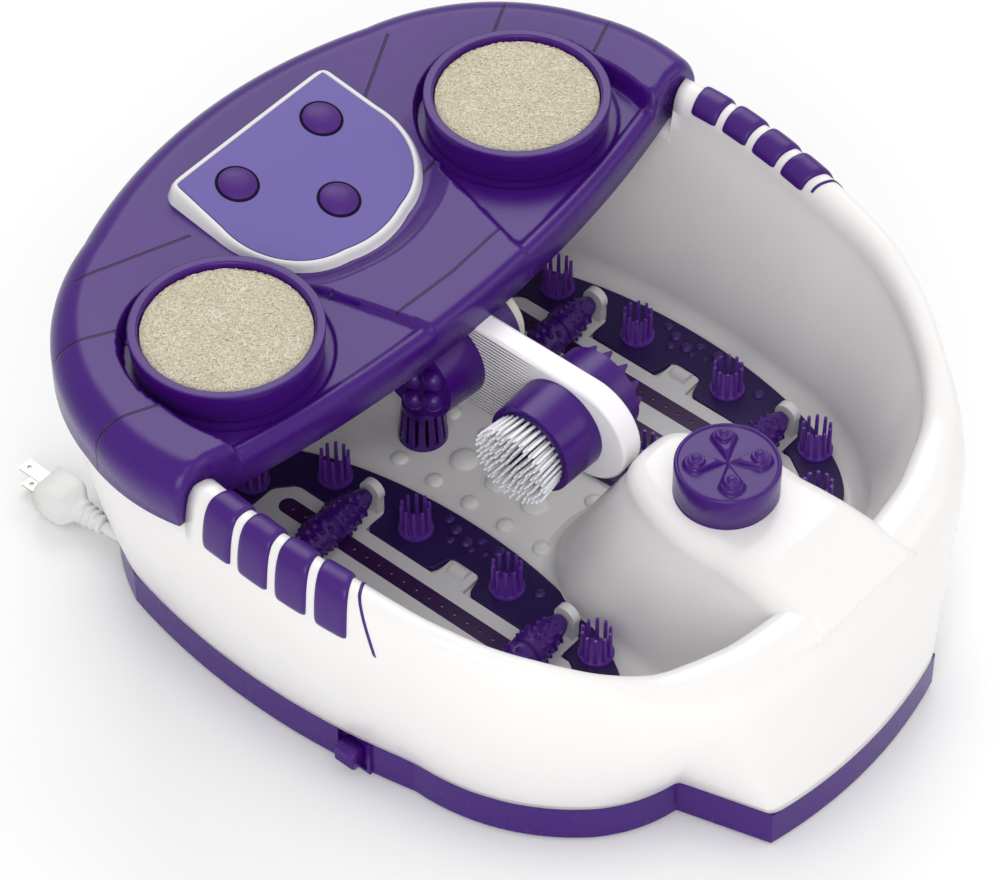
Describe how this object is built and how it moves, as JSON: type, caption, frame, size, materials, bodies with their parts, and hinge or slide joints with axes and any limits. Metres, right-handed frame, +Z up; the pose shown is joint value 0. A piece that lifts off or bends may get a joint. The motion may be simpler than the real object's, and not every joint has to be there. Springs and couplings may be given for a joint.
{
  "type": "foot spa basin",
  "caption": "Moulded foot bath with a purple half cover, tilted push-button panel, loofah discs, foot beds with rollers and pins, and lift-off massage attachments.",
  "frame": {"origin": "on the floor under the middle of the footprint", "axes": "+Z up, +Y to the rear where the cover and cord are, -Y towards the user, +X to the user's right"},
  "size_m": [0.3802, 0.433, 0.1861],
  "materials": {
    "white_shell": "gloss, injection moulded",
    "purple_shell": "gloss, injection moulded",
    "purple_soft": "satin soft-touch",
    "white_trim": "satin gloss",
    "panel_film": "printed film",
    "button_purple": "satin",
    "loofah": "natural loofah fibre",
    "pumice": "rough",
    "bristle": "nylon",
    "roller_purple": "satin gloss",
    "dark_strip": "satin",
    "steel": "plain",
    "dark_works": "plain",
    "copper_motor": "cast",
    "board": "circuit board",
    "white_cord": "flexible vinyl",
    "blade_metal": "plated",
    "foot_rubber": "matte"
  },
  "bodies": {
    "basin": {"tub": "white_shell", "attachment_arm": "white_shell", "base_pan": "purple_shell", "top_cover": "purple_shell", "cover_underplate": "purple_shell", "grips_left": "purple_soft", "grips_right": "purple_soft", "rim_stripe_left": "purple_soft", "rim_stripe_right": "purple_soft", "foot_mat_left": "purple_soft", "foot_mat_right": "purple_soft", "pin_crowns_left": "purple_soft", "pin_crowns_right": "purple_soft", "control_bezel": "white_trim", "roller_frame_left": "white_trim", "roller_frame_right": "white_trim", "control_overlay": "panel_film", "bubble_strips_left": "dark_strip", "bubble_strips_right": "dark_strip", "axle_left_rear": "steel", "axle_left_front": "steel", "axle_right_rear": "steel", "axle_right_front": "steel", "base_screws": "steel", "heater_plate": "steel", "air_pump": "dark_works", "jet_housing": "dark_works", "vibration_motor": "copper_motor", "jet_motor": "copper_motor", "control_board": "board", "cord_tube": "white_cord", "cord_lead": "white_cord", "cord_coil": "white_cord", "strain_relief": "white_cord", "plug_body": "white_cord", "plug_blades": "blade_metal", "rubber_feet": "foot_rubber"},
    "vibration_button": {"vibration_button": "button_purple"},
    "bubble_button": {"bubble_button": "button_purple"},
    "jet_button": {"jet_button": "button_purple"},
    "side_slider": {"side_slider": "purple_shell"},
    "loofah_left": {"loofah_cup_left": "purple_shell", "loofah_pad_left": "loofah"},
    "loofah_right": {"loofah_cup_right": "purple_shell", "loofah_pad_right": "loofah"},
    "brush": {"brush_cap": "purple_shell", "brush_bristles": "bristle"},
    "bulbs": {"bulb_cap": "purple_shell"},
    "pumice": {"pumice_cap": "purple_shell", "pumice_stone": "pumice"},
    "points": {"point_cap": "purple_shell"},
    "nubs": {"nub_cap": "purple_shell"},
    "intake": {"intake_cone": "purple_shell"},
    "eccentric": {"eccentric_weight": "steel"},
    "impeller": {"jet_impeller": "dark_works"},
    "roller_left_rear": {"roller_left_rear": "roller_purple"},
    "roller_left_front": {"roller_left_front": "roller_purple"},
    "roller_right_rear": {"roller_right_rear": "roller_purple"},
    "roller_right_front": {"roller_right_front": "roller_purple"}
  },
  "joints": [
    {"name": "vibration_press", "type": "slide", "parent": "basin", "child": "vibration_button", "axis": [0, 0.2205, -0.9754], "range_m": [0, 0.0015], "stiffness_N_per_m": 900, "springref_m": -0.0015},
    {"name": "bubble_press", "type": "slide", "parent": "basin", "child": "bubble_button", "axis": [0, 0.2205, -0.9754], "range_m": [0, 0.0015], "stiffness_N_per_m": 900, "springref_m": -0.0015},
    {"name": "jet_press", "type": "slide", "parent": "basin", "child": "jet_button", "axis": [0, 0.2205, -0.9754], "range_m": [0, 0.0015], "stiffness_N_per_m": 900, "springref_m": -0.0015},
    {"name": "slider_travel", "type": "slide", "parent": "basin", "child": "side_slider", "axis": [0, 0, 1], "range_m": [-0.002, 0.003]},
    {"name": "loofah_left_lift", "type": "slide", "parent": "basin", "child": "loofah_left", "axis": [0, 0, 1], "range_m": [0, 0.02]},
    {"name": "loofah_right_lift", "type": "slide", "parent": "basin", "child": "loofah_right", "axis": [0, 0, 1], "range_m": [0, 0.02]},
    {"name": "brush_pull", "type": "slide", "parent": "basin", "child": "brush", "axis": [-1, 0, 0], "range_m": [0, 0.02]},
    {"name": "bulbs_pull", "type": "slide", "parent": "basin", "child": "bulbs", "axis": [-1, 0, 0], "range_m": [0, 0.02]},
    {"name": "pumice_pull", "type": "slide", "parent": "basin", "child": "pumice", "axis": [1, 0, 0], "range_m": [0, 0.02]},
    {"name": "points_pull", "type": "slide", "parent": "basin", "child": "points", "axis": [1, 0, 0], "range_m": [0, 0.02]},
    {"name": "nubs_lift", "type": "slide", "parent": "basin", "child": "nubs", "axis": [0, 0, 1], "range_m": [0, 0.02]},
    {"name": "intake_lift", "type": "slide", "parent": "basin", "child": "intake", "axis": [0, 0, 1], "range_m": [0, 0.02]},
    {"name": "roller_left_rear_turn", "type": "hinge", "parent": "basin", "child": "roller_left_rear", "pos_m": [-0.0855, 0.051, 0.0575], "axis": [1, 0, 0], "continuous": true},
    {"name": "roller_left_front_turn", "type": "hinge", "parent": "basin", "child": "roller_left_front", "pos_m": [-0.0855, -0.072, 0.0575], "axis": [1, 0, 0], "continuous": true},
    {"name": "roller_right_rear_turn", "type": "hinge", "parent": "basin", "child": "roller_right_rear", "pos_m": [0.0855, 0.051, 0.0575], "axis": [1, 0, 0], "continuous": true},
    {"name": "roller_right_front_turn", "type": "hinge", "parent": "basin", "child": "roller_right_front", "pos_m": [0.0855, -0.072, 0.0575], "axis": [1, 0, 0], "continuous": true},
    {"name": "eccentric_spin", "type": "hinge", "parent": "basin", "child": "eccentric", "pos_m": [0.068, -0.038, 0.0157], "axis": [0, 1, 0], "continuous": true},
    {"name": "impeller_spin", "type": "hinge", "parent": "basin", "child": "impeller", "pos_m": [0, -0.118, 0.017], "axis": [0, 0, 1], "continuous": true}
  ]
}
